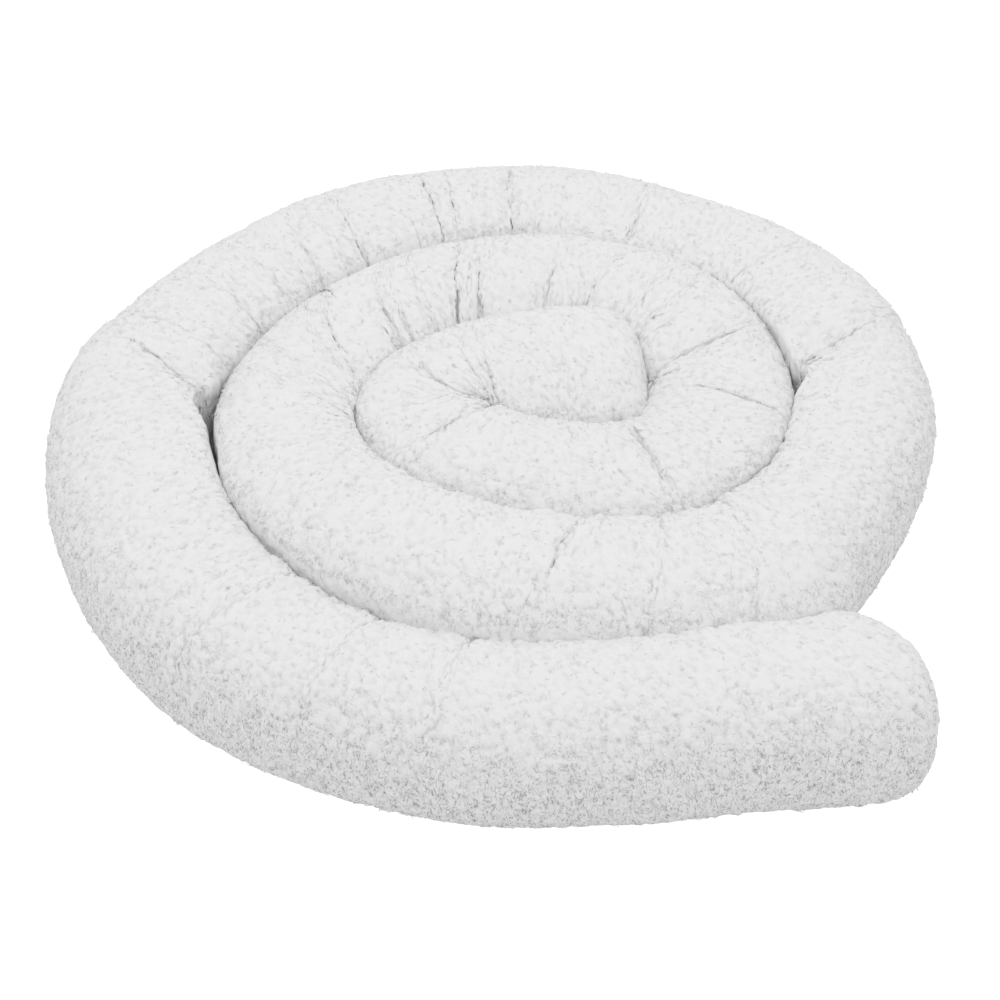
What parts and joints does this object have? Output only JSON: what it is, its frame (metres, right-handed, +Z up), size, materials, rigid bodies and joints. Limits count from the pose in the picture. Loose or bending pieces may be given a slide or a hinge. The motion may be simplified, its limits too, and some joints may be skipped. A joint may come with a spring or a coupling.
{
  "type": "crib bumper roll",
  "caption": "Long softly stuffed roll in white curly fleece, laid down in a flat coil, for lining the inside of a crib.",
  "frame": {"origin": "under the middle of the coil's outline, on the surface that it lies on", "axes": "+Z up; +X along the free outer stretch, towards its end; +Y away from that stretch, across the coil"},
  "size_m": [0.6176, 0.6638, 0.104],
  "materials": {
    "fleece": "white curly fleece, matte, with a short soft pile"
  },
  "bodies": {
    "root": {"bumper_roll": "fleece"}
  },
  "joints": []
}
